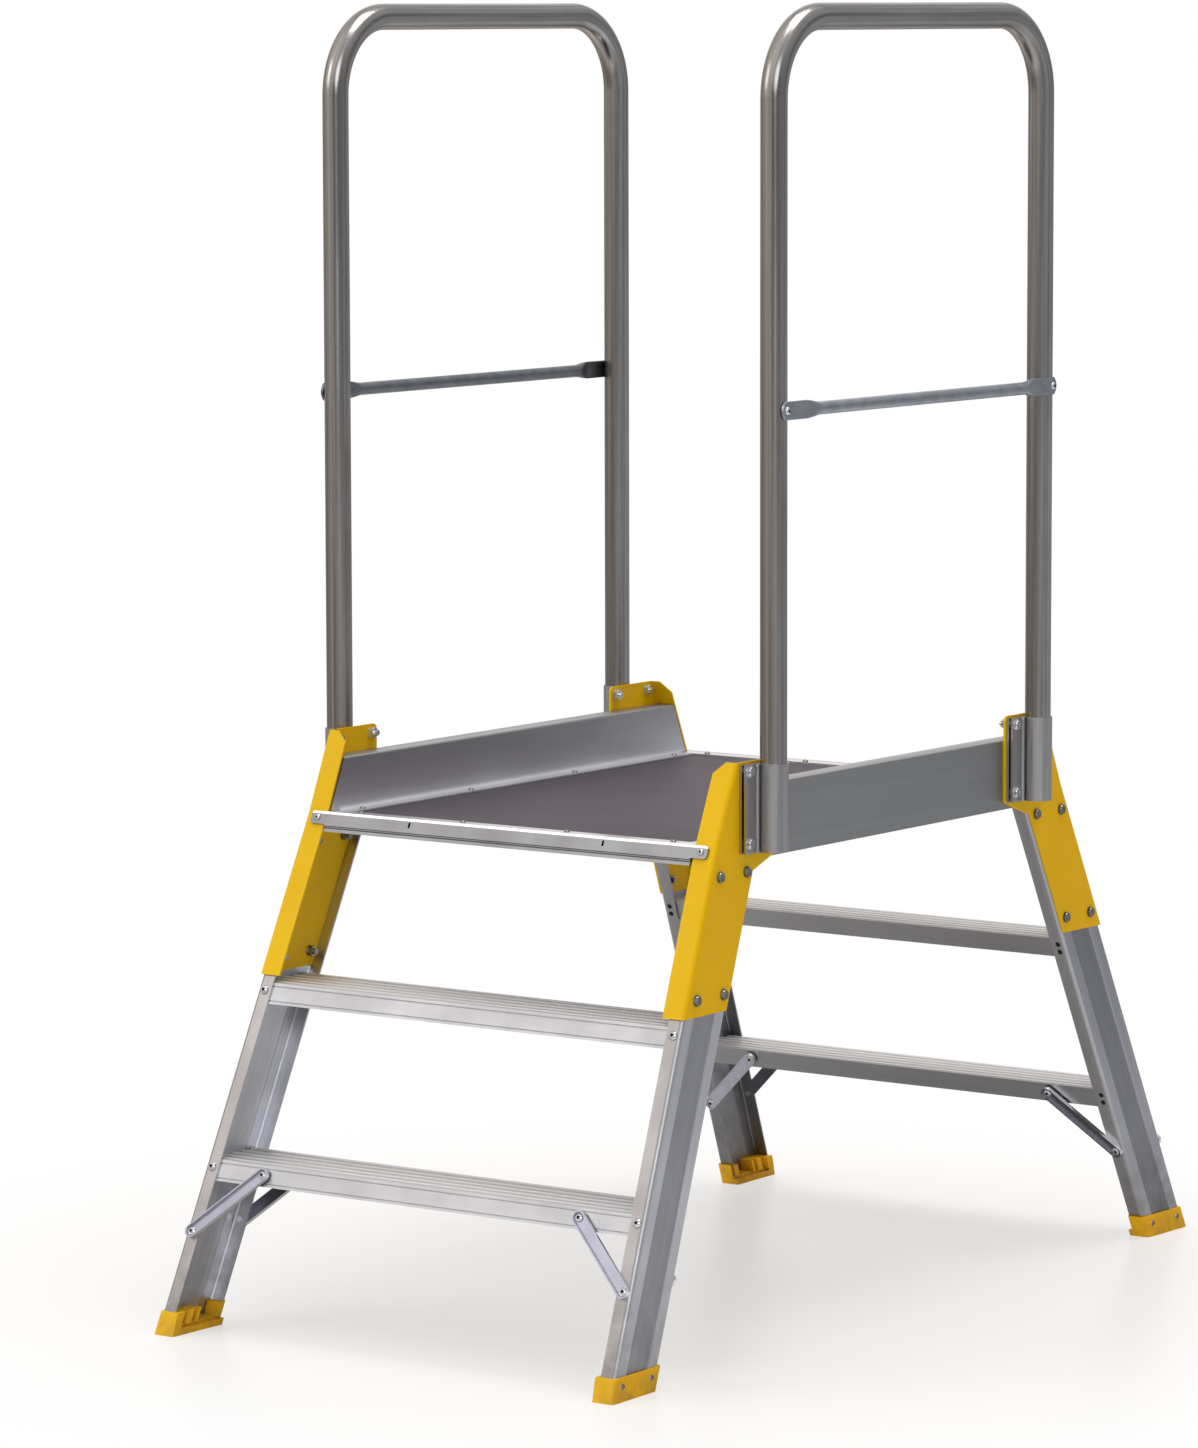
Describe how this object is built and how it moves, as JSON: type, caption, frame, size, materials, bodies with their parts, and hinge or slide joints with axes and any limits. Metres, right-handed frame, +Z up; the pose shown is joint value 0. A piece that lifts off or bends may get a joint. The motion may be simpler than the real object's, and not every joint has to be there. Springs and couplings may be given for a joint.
{
  "type": "podium step",
  "caption": "Fixed work platform on two leaning ladder frames, with toe boards and a lift-out handrail with mid rail at each side.",
  "frame": {"origin": "on the floor under the middle of the deck", "axes": "+X along the treads, +Y from the front ladder frame to the rear one, +Z up"},
  "size_m": [0.8004, 1.4876, 1.828],
  "materials": {
    "aluminium": "satin mill finish",
    "yellow_paint": "smooth powder coat",
    "yellow_plastic": "moulded, slightly glossy",
    "zinc_steel": "bright zinc plate",
    "deck_ply": "phenolic film with a fine mesh",
    "bright_steel": "bright plate"
  },
  "bodies": {
    "podium": {"front_left_stile": "aluminium", "front_right_stile": "aluminium", "rear_left_stile": "aluminium", "rear_right_stile": "aluminium", "front_upper_tread": "aluminium", "front_lower_tread": "aluminium", "rear_upper_tread": "aluminium", "rear_lower_tread": "aluminium", "front_left_outer_brace": "aluminium", "front_left_inner_brace": "aluminium", "front_right_outer_brace": "aluminium", "front_right_inner_brace": "aluminium", "rear_left_outer_brace": "aluminium", "rear_left_inner_brace": "aluminium", "rear_right_outer_brace": "aluminium", "rear_right_inner_brace": "aluminium", "front_left_foot": "yellow_plastic", "front_right_foot": "yellow_plastic", "rear_left_foot": "yellow_plastic", "rear_right_foot": "yellow_plastic", "front_left_bracket": "yellow_paint", "front_right_bracket": "yellow_paint", "rear_left_bracket": "yellow_paint", "rear_right_bracket": "yellow_paint", "front_left_backing": "yellow_paint", "front_right_backing": "yellow_paint", "rear_left_backing": "yellow_paint", "rear_right_backing": "yellow_paint", "front_left_socket": "aluminium", "front_right_socket": "aluminium", "rear_left_socket": "aluminium", "rear_right_socket": "aluminium", "deck_panel": "deck_ply", "front_deck_edge": "aluminium", "rear_deck_edge": "aluminium", "left_toe_board": "aluminium", "right_toe_board": "aluminium", "bracket_bolts": "bright_steel", "bracket_nuts": "bright_steel", "clamp_bolts": "bright_steel", "clamp_nuts": "bright_steel", "tread_rivets": "bright_steel", "tread_pins": "bright_steel", "brace_rivets": "bright_steel", "foot_screws": "bright_steel", "edge_screws": "bright_steel", "edge_rivets": "bright_steel", "toe_rivets": "bright_steel"},
    "left_rail": {"left_handrail": "aluminium", "left_mid_rail": "zinc_steel", "left_rail_rivets": "bright_steel"},
    "right_rail": {"right_handrail": "aluminium", "right_mid_rail": "zinc_steel", "right_rail_rivets": "bright_steel"}
  },
  "joints": [
    {"name": "left_rail_lift", "type": "slide", "parent": "podium", "child": "left_rail", "axis": [0, 0, 1], "range_m": [0, 0.13]},
    {"name": "right_rail_lift", "type": "slide", "parent": "podium", "child": "right_rail", "axis": [0, 0, 1], "range_m": [0, 0.13]}
  ]
}
